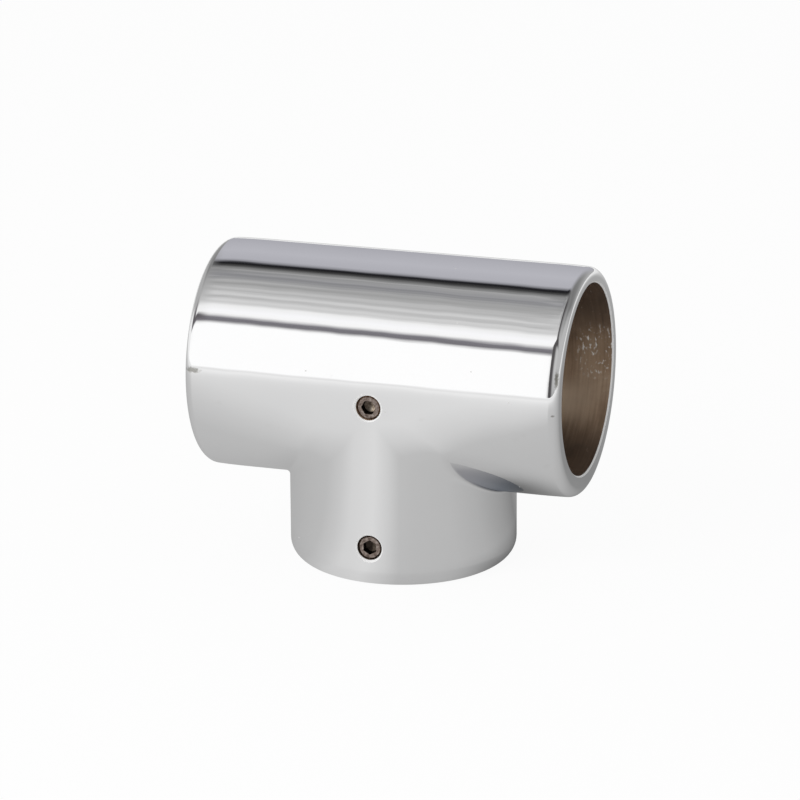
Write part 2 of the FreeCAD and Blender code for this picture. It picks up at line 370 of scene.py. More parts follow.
def hole_cutter(name, surface_y):
    """The space of one screw hole, from outside the fitting to inside its bore."""
    axis_z = screw_axis_z[name]
    outside_y = surface_y - CUTTER_MARGIN
    edge = HOLE_RADIUS + HOLE_EDGE_BREAK
    lip = np.linspace(edge + LIP_OVER, HOLE_RADIUS, LIP_RINGS)
    cone = turned(np.concatenate(([0, edge + CUTTER_MARGIN], lip)),
                  np.concatenate(([outside_y, outside_y], surface_y + edge - lip)), axis_z)
    wall = turned([HOLE_RADIUS, HOLE_RADIUS, 0],
                  [surface_y + HOLE_EDGE_BREAK, HOLE_BOTTOM, HOLE_BOTTOM], axis_z)
    return mesh_from_patches("hole_" + name, [(EDGE, cone), (WALL, wall)])


run_surface_y = -math.sqrt(RUN_RADIUS ** 2 - (screw_axis_z["run_set_screw"] - AXIS_Z) ** 2)
cutters = [hole_cutter("run_set_screw", run_surface_y), hole_cutter("stem_set_screw", -STEM_RADIUS)]

# %% Cut both holes


def cut_out(mesh, cutters):
    """The mesh less every cutter, by the exact boolean, as a new mesh. Zone numbers are kept."""
    body = bpy.data.objects.new("uncut", mesh)
    scene.collection.objects.link(body)
    helpers = [body]
    for number, cutter in enumerate(cutters):
        tool = bpy.data.objects.new(f"cutter_{number}", cutter)
        scene.collection.objects.link(tool)
        helpers.append(tool)
        cut = body.modifiers.new(f"cut_{number}", "BOOLEAN")
        cut.operation, cut.solver, cut.object = "DIFFERENCE", "EXACT", tool
    result = bpy.data.meshes.new_from_object(body.evaluated_get(bpy.context.evaluated_depsgraph_get()))
    for helper in helpers:
        data = helper.data
        bpy.data.objects.remove(helper)
        bpy.data.meshes.remove(data)
    return result


for part in (skin, *cutters):
    for _ in range(WALL + 1):
        part.materials.append(None)
tee_mesh = cut_out(skin, cutters)
tee_mesh.name = "tee_body"
zone_of_face = read(tee_mesh.polygons, "material_index", int)
print("faces of each zone:", np.bincount(zone_of_face, minlength=WALL + 1).tolist())

# %% [markdown]
# True normals
#
# A mirror shows the difference between a smooth surface and a fine polygon net. So every corner of every
# face gets the normal of the surface that it was taken from, worked out from its zone's formula. The blend
# has no short formula, so it keeps the normals of its fine mesh, apart from its front: the run's screw hole
# cuts it there, and a search for the nearest ball gives them. The broken edges of the holes get normals
# that lean over step by step, as if they were round. Where two zones meet in an edge, it stays sharp.

# %% Normals where the screw holes are
FRONT_ANGLES = np.linspace(-0.25, 0.25, 2001) - np.pi / 2
NEAR_HOLE = 4.5 * MM


def front_blend_normals(points):
    """Normals of the blend at its front, where a screw hole cuts it: each points at the centre of the ball
    whose arc the point lies on, the one whose plane through both touching points passes nearest to it."""
    centres = ball_centres(FRONT_ANGLES)
    stem_way = stack(-np.cos(FRONT_ANGLES), -np.sin(FRONT_ANGLES), 0.0)
    run_way = unit(stack(0.0, -centres[:, 1], AXIS_Z - centres[:, 2]))
    planes = unit(np.cross(stem_way, run_way))
    from_plane = np.abs(points @ planes.T - (centres * planes).sum(axis=-1))
    return unit(centres[from_plane.argmin(axis=1)] - points)


def hole_normals(x, z, run_out, stem_out):
    """Normals of the walls of the screw holes, and of their broken edges, which lean over from the outside
    of the run or stem towards the wall."""
    upper, lower = (screw_axis_z[name] for name in SCREW_NAMES)
    axis_z = np.where(z > (upper + lower) / 2, upper, lower)
    hole_in = -unit(stack(x, 0.0, z - axis_z))
    skin_out = np.where((axis_z == upper)[:, None], run_out, stem_out)
    way_in = np.clip((HOLE_RADIUS + HOLE_EDGE_BREAK - np.hypot(x, z - axis_z)) / HOLE_EDGE_BREAK, 0, 1)
    lean = (EDGE_LEAN[0] + (EDGE_LEAN[1] - EDGE_LEAN[0]) * way_in)[:, None]
    return hole_in, unit(skin_out * np.cos(lean) + hole_in * np.sin(lean))


# %% Normals of each zone


def corner_normals(mesh, zones):
    """The outward normal at every face corner, from the formula of the face's zone."""
    vertex = read(mesh.loops, "vertex_index", int)
    point = read(mesh.vertices, "co", width=3)[vertex]
    own = read(mesh.vertex_normals, "vector", width=3)
    zone = np.repeat(zones, read(mesh.polygons, "loop_total", int))
    x, y, z = point.T
    tilt = end_tilt(np.abs(x))
    run_out = unit(stack(0.0, y, z - AXIS_Z))
    bore_out = unit(stack(0.0, y, z))
    stem_out = unit(stack(x, y, 0.0))
    along = stack(np.sign(x), 0.0, 0.0)
    down = stack(0.0, 0.0, -np.ones(len(x)))
    run_side = run_out * np.cos(tilt)[:, None] + along * np.sin(tilt)[:, None]
    rim_drop = np.clip((STEM_END_Z + STEM_RIM_HEIGHT - z) / rim_arc, 0, 1)
    stem_rim_normal = stem_out * np.sqrt(1 - rim_drop ** 2)[:, None] + down * rim_drop[:, None]
    hole_in, rounded_edge = hole_normals(x, z, run_out, stem_out)
    on_run, on_stem = zone == SIDE, zone == STEM
    near_hole = (zone == BLEND) & (y < 0) & (np.abs(x) < NEAR_HOLE)
    own[vertex[near_hole]] = front_blend_normals(point[near_hole])
    own[vertex[on_run]] = run_side[on_run]
    own[vertex[on_stem]] = stem_out[on_stem]
    by_zone = {SIDE: run_side, RIM: run_side, RING: along, MOUTH: unit(along - bore_out), BORE: -bore_out,
               STEM: stem_out, BLEND: own[vertex], STEM_RIM: stem_rim_normal, STEM_RING: down,
               STEM_MOUTH: unit(down - stem_out), STEM_BORE: -stem_out, EDGE: rounded_edge,
               WALL: hole_in}
    return np.select([(zone == number)[:, None] for number in by_zone], list(by_zone.values()))


def set_normals(mesh, normals):
    """Smooth faces with these corner normals."""
    mesh.shade_smooth()
    mesh.normals_split_custom_set(normals.tolist())


set_normals(tee_mesh, corner_normals(tee_mesh, zone_of_face))

# %% Finish of each face
PLATED, BARE, WORN = range(3)
finish_of_zone = np.full(WALL + 1, PLATED)
finish_of_zone[[BORE, STEM_BORE, WALL]] = BARE
finish_of_zone[[EDGE, MOUTH, STEM_MOUTH]] = WORN
finish_of_face = finish_of_zone[zone_of_face]
print("plated, bare and worn faces:", np.bincount(finish_of_face).tolist())

# %% [markdown]
# The set screws
#
# Each is a short M5 grub screw: a hexagonal socket with a drilled bottom, a chamfer at both ends, a cup
# point and a thread of 0.8 mm pitch. All of it is one grid of rings round the screw's axis. A socket row
# takes its radius from the hexagon, and a thread row takes it from how far the ring is along the helix.
# The walls of the socket and its drilled end get zones of their own, as the walls are painted dark with
# shade and the drilled end gets painted light and shade of its own.

# %% Set screws
SCREW_RADIUS = 2.5 * MM
SCREW_LENGTH = 2.85 * MM
SCREW_CHAMFER = 0.35 * MM
SOCKET_APOTHEM = 1.25 * MM
SOCKET_DEPTH = 1.5 * MM
SOCKET_LEAD = 0.08 * MM
SOCKET_STEP = 0.98
DRILL_DEPTH = SOCKET_DEPTH + SOCKET_APOTHEM / math.tan(math.radians(60))
CUP_RADIUS, CUP_DEPTH = 1.25 * MM, 0.5 * MM
PITCH, THREAD_DEPTH = 0.8 * MM, 0.42 * MM
THREAD_ROWS = 58
GROOVE_START, GROOVE_FLANK = 0.85, 0.65
SHARP_ANGLE = math.radians(32)
SCREW_SKIN, SOCKET_WALL, SOCKET_END = range(3)


def hexagon(apothem, twist):
    """Distance from the middle to the side of a hexagon, in every direction. twist turns its corners."""
    sixth = np.pi / 3
    return apothem / np.cos(np.mod(hole_angle - twist, sixth) - sixth / 2)


def thread_radius(depth_in):
    """Radius at each distance along the screw and angle round it: a V groove that follows the helix."""
    place_in_pitch = np.mod(depth_in[:, None] / PITCH - hole_angle / (2 * np.pi), 1)
    from_root = np.abs(2 * place_in_pitch - 1)
    groove = SCREW_RADIUS - THREAD_DEPTH * np.clip((GROOVE_START - from_root) / GROOVE_FLANK, 0, 1)
    from_end = np.minimum(depth_in, SCREW_LENGTH - depth_in)[:, None]
    return np.minimum(groove, SCREW_RADIUS - SCREW_CHAMFER + from_end)


def set_screw(name, twist):
    """The screw at its CAD place, its outer face towards the front."""
    face_y, axis_z = screw_boxes[name][0][1], screw_axis_z[name]
    hexed, plain = hexagon(SOCKET_APOTHEM, twist), np.ones(HOLE_STEPS + 1)
    drilled = SOCKET_STEP * SOCKET_APOTHEM * plain
    socket = turned(np.stack((0 * plain, drilled, hexed, hexed, hexed + SOCKET_LEAD)),
                    face_y + np.array((DRILL_DEPTH, SOCKET_DEPTH, SOCKET_DEPTH, SOCKET_LEAD, 0)), axis_z)
    socket_end, socket_wall = socket[:3], socket[2:]
    depth_in = np.linspace(0, SCREW_LENGTH, THREAD_ROWS + 1)
    grooved = thread_radius(depth_in)
    face = turned(np.stack((hexed + SOCKET_LEAD, grooved[0])), face_y + np.zeros(2), axis_z)
    thread = turned(grooved, face_y + depth_in, axis_z)
    point = turned(np.stack((grooved[-1], CUP_RADIUS * plain, 0 * plain)),
                   face_y + SCREW_LENGTH - np.array((0, 0, CUP_DEPTH)), axis_z)
    mesh = mesh_from_patches(name, [(SOCKET_END, socket_end), (SOCKET_WALL, socket_wall), (SCREW_SKIN, face),
                                    (SCREW_SKIN, thread), (SCREW_SKIN, point)])
    mesh.shade_smooth()
    mesh.set_sharp_from_angle(angle=SHARP_ANGLE)
    return bpy.data.objects.new(name + "_detailed", mesh)


run_screw = set_screw("run_set_screw", 0.0)
stem_screw = set_screw("stem_set_screw", np.pi / 6)

# %% [markdown]
# Materials from nodes
#
# All patterns read Object coordinates, in metres, so they stay on the metal when the camera or a joint
# moves. Short helpers keep the node code readable. The first adds a node and sets or links its inputs, and
# the others make what every material here is built from: noise of a given grain size, soft steps, distances
# from a place, colours from a value, and blends of two colours or two shaders.

# %% Node helpers


def add(tree, kind, inputs=None, **settings):
    """Adds a node, sets its properties, and sets or links its inputs by name or number."""
    new = tree.nodes.new(kind)
    for name, value in settings.items():
        setattr(new, name, value)
    for name, value in (inputs or {}).items():
        if isinstance(value, bpy.types.NodeSocket):
            tree.links.new(value, new.inputs[name])
        else:
            new.inputs[name].default_value = value
    return new


def grain(tree, place, size, stretch=(1, 1, 1), detail=3.0, distortion=0.0):
    """Noise from 0 to 1 whose grains are about size metres, longer by stretch along X, Y and Z."""
    scale = tuple(1 / (size * factor) for factor in stretch)
    mapping = add(tree, "ShaderNodeMapping", {"Vector": place, "Scale": scale})
    noise = add(tree, "ShaderNodeTexNoise", {"Vector": mapping.outputs[0], "Scale": 1.0, "Detail": detail,
                                             "Distortion": distortion})
    return noise.outputs["Fac"]


def maths(tree, operation, first, second=0.0, third=0.0, clamp=False):
    """One arithmetic node."""
    return add(tree, "ShaderNodeMath", {0: first, 1: second, 2: third}, operation=operation,
               use_clamp=clamp).outputs[0]


def ramp(tree, value, stops):
    """Colours from a value: stops are (position, colour) from low to high."""
    node = add(tree, "ShaderNodeValToRGB", {0: value})
    elements = node.color_ramp.elements
    while len(elements) < len(stops):
        elements.new(1.0)
    for element, (position, colour) in zip(elements, stops):
        element.position = position
        element.color = (*colour, 1)
    return node.outputs[0]


def step(tree, value, low, high):
    """0 at low, 1 at high, and a soft step between. low may be the larger one."""
    soft = add(tree, "ShaderNodeMapRange", {0: value, 1: low, 2: high}, interpolation_type="SMOOTHSTEP")
    return soft.outputs[0]


def window(tree, value, low, high, soft):
    """1 between low and high, 0 outside, with soft ends."""
    return maths(tree, "MULTIPLY", step(tree, value, low - soft, low + soft),
                 step(tree, value, high + soft, high - soft))


def distance_from(tree, place, middle, reach):
    """Distance of each place from a middle, in shares of the reach along X, Y and Z, both in millimetres."""
    offset = add(tree, "ShaderNodeVectorMath", {0: place, 1: [-x * MM for x in middle]}, operation="ADD")
    scale = [1 / (x * MM) for x in reach]
    scaled = add(tree, "ShaderNodeVectorMath", {0: offset.outputs[0], 1: scale}, operation="MULTIPLY")
    return add(tree, "ShaderNodeVectorMath", {0: scaled.outputs[0]}, operation="LENGTH").outputs["Value"]


def blend_colour(tree, share, first, second, mode="MIX"):
    """first where share is 0, second where it is 1, or in another mode the two combined that way."""
    mix = add(tree, "ShaderNodeMix", data_type="RGBA", blend_type=mode)
    for socket, value in zip((mix.inputs[0], mix.inputs[6], mix.inputs[7]), (share, first, second)):
        if isinstance(value, bpy.types.NodeSocket):
            tree.links.new(value, socket)
        else:
            socket.default_value = value if socket is mix.inputs[0] else (*value, 1)
    return mix.outputs[2]


def mix_shaders(tree, share, first, second):
    """The first shader where share is 0 and the second where it is 1."""
    return add(tree, "ShaderNodeMixShader", {0: share, 1: first.outputs[0], 2: second.outputs[0]})


def grey(level, red=0, blue=0):
    """The linear colour that shows as this level from 0 to 255, with a little more red or blue."""
    return tuple(((min(level + extra, 255) / 255 + 0.055) / 1.055) ** 2.4 for extra in (red, 0, blue))


def new_material(name):
    """An empty node material: its tree, its Principled shader and its Object coordinates."""
    material = bpy.data.materials.new(name)
    material.use_nodes = True
    tree = material.node_tree
    tree.nodes.clear()
    shader = add(tree, "ShaderNodeBsdfPrincipled")
    add(tree, "ShaderNodeOutputMaterial", {"Surface": shader.outputs[0]})
    place = add(tree, "ShaderNodeTexCoord").outputs["Object"]
    return material, tree, shader, place


def join(tree, shader, **sockets):
    """Sets or links inputs of the Principled shader. An underscore in a name stands for a space."""
    for name, value in sockets.items():
        socket = shader.inputs[name.replace("_", " ")]
        if isinstance(value, bpy.types.NodeSocket):
            tree.links.new(value, socket)
        else:
            socket.default_value = value


# %% [markdown]
# Chrome plate
#
# Plating copies what is under it. The fitting was polished lengthwise on a wheel, which leaves long
# shallow waves, and the reflections of straight things wander a little along them. On top come specks of
# dust, faint smears and three nicks from handling. What the plate shows in a second reflection, off the
# stem and off the run, is painted dark and a little blue, more so out towards the stem's sides: painted
# shade for the corners beside the stem.

# %% Marks on the plate
NICKS = [((-36.6, -22.8, 2.1), (2.1, 1.6, 0.72), 0.62), ((37.9, -21.2, 6.5), (0.42, 1.2, 2.4), 0.8),
         ((37.6, -22.6, -0.6), (0.5, 1.0, 0.3), 0.6)]
# Painted shade: tones multiplied into what the plate shows in a second reflection, by distance from the
# middle in mm, darker and bluer towards the stem's sides.
PAINTED_SHADE_SECOND_REFLECTION = [(0, (0.66, 0.66, 0.67)), (13.8, (0.65, 0.65, 0.67)), (15.5, (0.51, 0.51, 0.54)),
                  (18.6, (0.47, 0.48, 0.52)), (20.5, (0.40, 0.42, 0.46)), (22, (0.31, 0.34, 0.39)),
                  (22.9, (0.29, 0.32, 0.36))]
PLATE_TONES = ((0.975, 0.975, 0.98), (0.995, 0.995, 0.995))
SMEAR_TONE, SPECK_TONE, NICK_TONE = (0.55, 0.50, 0.44), (0.66, 0.66, 0.65), (0.20, 0.19, 0.15)


def nick_mask(tree, place, wander):
    """How strongly each place is nicked: ellipsoids round the middles, with edges that wander."""
    total = 0.0
    for middle, reach, strength in NICKS:
        away = distance_from(tree, place, middle, reach)
        away = maths(tree, "MULTIPLY_ADD", wander, 1.1, maths(tree, "SUBTRACT", away, 0.55))
        total = maths(tree, "MULTIPLY_ADD", step(tree, away, 1.05, 0.35), strength, total)
    return maths(tree, "MINIMUM", total, 1.0)


print("nicks at", [middle for middle, _, _ in NICKS], "mm")

# %% Chrome plate


def chrome_plate():
    """Mirror plate with long waves, haze, specks and nicks, and painted shade in what it shows in a second
    reflection.
    """
    material, tree, shader, place = new_material("chrome_plate")
    haze = grain(tree, place, 9 * MM, detail=4)
    smear = step(tree, grain(tree, place, 2.6 * MM, (1.6, 1, 1), detail=5), 0.66, 0.80)
    fine = grain(tree, place, 0.5 * MM, detail=3)
    colour = blend_colour(tree, haze, *PLATE_TONES)
    colour = blend_colour(tree, maths(tree, "MULTIPLY", smear, 0.05), colour, SMEAR_TONE)
    specks = add(tree, "ShaderNodeTexVoronoi", {"Vector": place, "Scale": 1 / (4.2 * MM), "Randomness": 1.0})
    lot = add(tree, "ShaderNodeSeparateColor", {0: specks.outputs["Color"]}).outputs[0]
    rare = maths(tree, "GREATER_THAN", lot, 0.8)
    speck = maths(tree, "MULTIPLY", rare, step(tree, specks.outputs["Distance"], 0.06, 0.025))
    nick = nick_mask(tree, place, fine)
    colour = blend_colour(tree, speck, colour, SPECK_TONE)
    colour = blend_colour(tree, nick, colour, NICK_TONE)
    across = maths(tree, "ABSOLUTE", add(tree, "ShaderNodeSeparateXYZ", {0: place}).outputs[0])
    # Painted shade in the second reflection, darker with distance from the middle.
    stops = [(x * MM / HALF_RUN, tone) for x, tone in PAINTED_SHADE_SECOND_REFLECTION]
    painted_shade_second_reflection = ramp(tree, maths(tree, "DIVIDE", across, HALF_RUN), stops)
    mirrored = add(tree, "ShaderNodeLightPath").outputs["Is Glossy Ray"]
    colour = blend_colour(tree, mirrored, colour, painted_shade_second_reflection, "MULTIPLY")
    waves = grain(tree, place, 1.5 * MM, (22, 1, 1), detail=2)
    swell = grain(tree, place, 8 * MM, (1.3, 1, 1), detail=1)
    height = maths(tree, "MULTIPLY_ADD", waves, 0.25, maths(tree, "MULTIPLY", swell, 1.5))
    height = maths(tree, "MULTIPLY_ADD", nick, -0.8, height)
    bump = add(tree, "ShaderNodeBump", {"Strength": 1.0, "Distance": 0.03 * MM, "Height": height})
    roughness = maths(tree, "MULTIPLY_ADD", haze, 0.03, 0.025)
    roughness = maths(tree, "MULTIPLY_ADD", smear, 0.05, roughness)
    roughness = maths(tree, "MULTIPLY_ADD", nick, 0.3, roughness)
    metal = maths(tree, "SUBTRACT", 1.0, speck)
    join(tree, shader, Base_Color=colour, Metallic=metal, Roughness=roughness, Normal=bump.outputs[0])
    print("chrome plate:", len(tree.nodes), "nodes")
    return material


# %% [markdown]
# Worn edges
#
# The broken edges of the holes and mouths were cut by hand and are too narrow for the wheel. They stay
# satin, so they show only whether they face the light or the floor.

# %% Worn edge
WORN_TONES = ((0.92, 0.92, 0.92), (1.0, 1.0, 0.99))


def worn_edge():
    """Plate on the broken edges: satin, with fine marks from the cutter."""
    material, tree, shader, place = new_material("worn_edge")
    marks = grain(tree, place, 0.25 * MM, detail=3)
    colour = blend_colour(tree, marks, *WORN_TONES)
    bump = add(tree, "ShaderNodeBump", {"Strength": 0.4, "Distance": 0.01 * MM, "Height": marks})
    roughness = maths(tree, "MULTIPLY_ADD", marks, 0.15, 0.45)
    join(tree, shader, Base_Color=colour, Metallic=0.35, Roughness=roughness, Normal=bump.outputs[0])
    print("worn edge:", len(tree.nodes), "nodes")
    return material


# %% [markdown]
# Bare brass in the bores
#
# The bores were turned after the plating, so they show brass, mottled dark, and darker towards the top
# and the bottom. Fine rings run round them from the tool. One band low on the wall is a painted sheen,
# painted brighter and warmer as reflected light, fading towards the right mouth. Near the right mouth, on
# the back wall, a tube has scuffed the brass: warm where it only grazed, and in silvery flecks where it bit.

# %% Bare brass
BRASS_TONES = [(0.30, (0.24, 0.155, 0.10)), (0.50, (0.56, 0.395, 0.27)), (0.68, (0.84, 0.64, 0.46))]
PAINTED_SHEEN_TONE, BORE_DARK_TONE, SCUFF_TONE = (1.0, 0.80, 0.60), (0.055, 0.036, 0.026), (0.62, 0.44, 0.29)
FAINT_TONE, BITTEN_TONE = (0.85, 0.76, 0.66), (1.0, 0.97, 0.93)
# A painted sheen: a band low in the bore painted bright and warm as reflected light, fading towards the
# right mouth.
PAINTED_SHEEN_WINDOW, PAINTED_SHEEN_FADE = (-13.5 * MM, -7 * MM, 2.5 * MM), (38 * MM, 27 * MM)
# Heights over which the brass is painted darker towards the top and towards the bottom of the bore.
DARKER_TOP, DARKER_BOTTOM = (-6 * MM, 12 * MM), (-11 * MM, -18.5 * MM)
SCUFF_MIDDLE, SCUFF_REACH = (35.4, 19.2, -0.2), (5.0, 5.0, 6.2)


def bare_brass():
    """Turned brass, mottled and darker towards the top and bottom, with a painted sheen in one band and
    scuffed near the right mouth.
    """
    material, tree, shader, place = new_material("bare_brass")
    rings = grain(tree, place, 0.55 * MM, (1, 18, 18), detail=4)
    blotch = grain(tree, place, 7 * MM, detail=4, distortion=0.4)
    tone = maths(tree, "MULTIPLY_ADD", rings, 0.35, maths(tree, "MULTIPLY", blotch, 0.65))
    colour = ramp(tree, tone, BRASS_TONES)
    parts = add(tree, "ShaderNodeSeparateXYZ", {0: place})
    height = parts.outputs[2]
    # Painted sheen: reflected light painted into the colour.
    painted_sheen = maths(tree, "MULTIPLY", window(tree, height, *PAINTED_SHEEN_WINDOW),
                   step(tree, parts.outputs[0], *PAINTED_SHEEN_FADE))
    colour = blend_colour(tree, maths(tree, "MULTIPLY", painted_sheen, 0.9), colour, PAINTED_SHEEN_TONE)
    # Darker towards the top and the bottom of the bore, mottled by the blotch noise.
    darkening = maths(tree, "MAXIMUM", step(tree, height, *DARKER_TOP), step(tree, height, *DARKER_BOTTOM))
    darkening = maths(tree, "MULTIPLY_ADD", blotch, 0.45, maths(tree, "MULTIPLY", darkening, 0.78))
    darkening = maths(tree, "SUBTRACT", darkening, 0.16, clamp=True)
    colour = blend_colour(tree, darkening, colour, BORE_DARK_TONE)
    scuff = step(tree, distance_from(tree, place, SCUFF_MIDDLE, SCUFF_REACH), 1.15, 0.55)
    fleck = step(tree, grain(tree, place, 0.55 * MM, (1, 1.5, 1.8), detail=5), 0.56, 0.66)
    bitten = maths(tree, "MULTIPLY", fleck, scuff)
    colour = blend_colour(tree, maths(tree, "MULTIPLY", scuff, 0.25), colour, SCUFF_TONE)
    faint = step(tree, grain(tree, place, 0.7 * MM, (1, 2, 2), detail=5), 0.66, 0.76)
    colour = blend_colour(tree, maths(tree, "MULTIPLY", faint, 0.3), colour, FAINT_TONE)
    colour = blend_colour(tree, bitten, colour, BITTEN_TONE)
    bump = add(tree, "ShaderNodeBump", {"Strength": 0.6, "Distance": 0.03 * MM, "Height": tone})
    roughness = maths(tree, "MULTIPLY_ADD", blotch, -0.25, 0.62)
    metal = maths(tree, "MULTIPLY_ADD", bitten, -0.25, 0.35)
    join(tree, shader, Base_Color=colour, Metallic=metal, Roughness=roughness, Normal=bump.outputs[0])
    print("bare brass:", len(tree.nodes), "nodes")
    return material


# %% [markdown]
# Plain steel of the set screws
#
# Hardened screws come dark from the quench, and brown where oil has dried on them. Their faces are ground
# and shine a little, which the noise between three tones and a low roughness stand for. The walls of the
# sockets and the left half of their drilled ends are painted dark with shade. The right half of the run's
# socket end is a painted glint, and the stem's is painted dimmer.

# %% Screw steel
SKIN_TONES = ((0.12, 0.09, 0.075), (0.29, 0.23, 0.20), (0.50, 0.44, 0.40))
# Painted shade: near black tones for the socket walls; the middle one is painted over the left half of the
# drilled ends.
SOCKET_SHADE_TONES = ((0.012, 0.008, 0.006), (0.030, 0.020, 0.016), (0.070, 0.052, 0.042))
# Painted glint: bright tones for the run's drilled socket end, and below them a dimmer painted copy for the
# stem's.
GLINT_TONES = ((0.14, 0.105, 0.08), (0.52, 0.42, 0.32), (1.0, 0.88, 0.72))
DIM_GLINT_TONES = ((0.06, 0.045, 0.036), (0.22, 0.18, 0.14), (0.50, 0.42, 0.34))
TONE_STOPS = (0.32, 0.5, 0.7)
# Painted shade over the left half: none at 0.5 mm right of the axis, full at 0.25 mm left of it.
LEFT_SHADE_EDGE = (0.50 * MM, -0.25 * MM)


def screw_steel(name, tones, smoothest, left_shade=0.0):
    """Steel mottled in three tones, dark to pale, never smoother than the roughness smoothest, with that
    share of painted shade over its left half."""
    material, tree, shader, place = new_material(name)
    tone = grain(tree, place, 0.7 * MM, detail=5)
    colour = ramp(tree, tone, list(zip(TONE_STOPS, tones)))
    across = add(tree, "ShaderNodeSeparateXYZ", {0: place}).outputs[0]
    # Painted shade over the left half of the socket end.
    left_shaded = maths(tree, "MULTIPLY", step(tree, across, *LEFT_SHADE_EDGE), left_shade)
    colour = blend_colour(tree, left_shaded, colour, SOCKET_SHADE_TONES[1])
    bump = add(tree, "ShaderNodeBump", {"Strength": 0.5, "Distance": 0.015 * MM, "Height": tone})
    roughness = maths(tree, "MULTIPLY_ADD", tone, 0.22, smoothest)
    join(tree, shader, Base_Color=colour, Metallic=0.95, Roughness=roughness, Normal=bump.outputs[0])
    print(name, len(tree.nodes), "nodes")
    return material


skin_steel = screw_steel("screw_steel", SKIN_TONES, 0.12)
# Socket walls: painted shade, nearly black.
socket_shade = screw_steel("socket_shade", SOCKET_SHADE_TONES, 0.45)
# Lit and dimmer painted copies of the drilled socket end, each with painted shade on its left half.
run_socket_end_glint = screw_steel("run_socket_end_glint", GLINT_TONES, 0.15, 0.85)
stem_socket_end_dim_glint = screw_steel("stem_socket_end_dim_glint", DIM_GLINT_TONES, 0.3, 0.85)

# %% [markdown]
# The pieces
#
# Now each finish goes on its faces. Each piece rides on its body, so that it moves with the joints, and
# stands in for its solid.

# %% Put the pieces together
tee_mesh.materials.clear()
for material in (chrome_plate(), bare_brass(), worn_edge()):
    tee_mesh.materials.append(material)
tee_mesh.polygons.foreach_set("material_index", finish_of_face)
tee = bpy.data.objects.new("tee_plated", tee_mesh)
for piece, node, body, slot in ((tee, "tee_body", "fitting", "plated_brass"),
                                (run_screw, "run_set_screw", "run_screw", "screw_steel"),
                                (stem_screw, "stem_set_screw", "stem_screw", "screw_steel")):
    scene.collection.objects.link(piece)
    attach(piece, body)
    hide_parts(node)
for screw, socket_end in ((run_screw, run_socket_end_glint), (stem_screw, stem_socket_end_dim_glint)):
    for steel in (skin_steel, socket_shade, socket_end):
        screw.data.materials.append(steel)
print("faces:", {piece.name: len(piece.data.polygons) for piece in (tee, run_screw, stem_screw)})

# %% [markdown]
# The studio
#
# Chrome has no colour of its own: it shows the room. The picture was taken in a white tent with a large
# white panel in front, a thin seam over it, a folded cloth above and a dark slit overhead. The world
# repeats that for glossy rays, as bands that run along the fitting. Each band is an angle in degrees up from
# the front, a level from 0 to 255, and what red and blue have over it. Matt things get light of one plain
# level, the camera sees plain white, and the floor is a pale sheet that keeps a soft shadow.

# %% Bands of the tent
FRONT_BANDS = [(0, 255), (42, 255), (45.5, 113, 2, 5), (48.5, 120, 2, 6), (53, 248), (57, 249, 0, 2),
               (62.5, 238), (65.5, 202), (68, 210), (71.5, 188), (75, 202), (84, 178), (91, 160),
               (99, 143, 0, 3), (108.5, 138), (112.5, 70), (116, 26, 0, 2), (118, 40, 0, 4),
               (120.5, 140, 0, 6), (124, 175, 0, 7), (140, 182, 0, 7), (180, 168, 0, 7)]
LEFT_BANDS = [(0, 255), (42, 255), (44.5, 222), (46.2, 112, 4, 6), (50.5, 90, 3, 3), (53, 108, 3, 3),
              (56, 242), (62, 238), (68, 192), (80, 174), (95, 157), (113, 132), (124, 126), (138, 136),
              (158, 146), (180, 168)]
LEFT_END_BANDS = [(0, 255), (43, 250), (47, 100, 3, 3), (62, 88, 3, 3), (70, 120, 3, 3), (84, 172),
                  (180, 172)]
SIDE_BANDS = [(0, 168), (8, 182), (32, 192), (58, 186), (78, 168), (98, 146), (112, 126), (126, 116),
              (146, 126), (162, 144), (180, 172)]
LEFT_WALL, SIDE_WALL = grey(236), grey(182)


def band_ramp(tree, angle, bands):
    """Colour of the bands at an angle, which is 0 level to the front and 1 level to the back."""
    return ramp(tree, angle, [(degrees / 180, grey(*level)) for degrees, *level in bands])


def between_values(tree, value, low, high, at_low, at_high):
    """Straight from at_low to at_high while the value goes from low to high."""
    return add(tree, "ShaderNodeMapRange", {0: value, 1: low, 2: high, 3: at_low, 4: at_high}).outputs[0]


for name, bands in (("front", FRONT_BANDS), ("left", LEFT_BANDS), ("left end", LEFT_END_BANDS),
                    ("side", SIDE_BANDS)):
    print(name, "bands:", len(bands))

# %% Front of the tent
SEAM_ENDS, SEAM_SLANT = (-0.325, -0.250), (-0.0086, 0.0125)
FOLDED_WINDOW = (0.375, 0.61, 0.022)
FOLD_CONTRAST, FOLD_LIGHT, FOLD_DARK = 1.1, grey(235), grey(70)


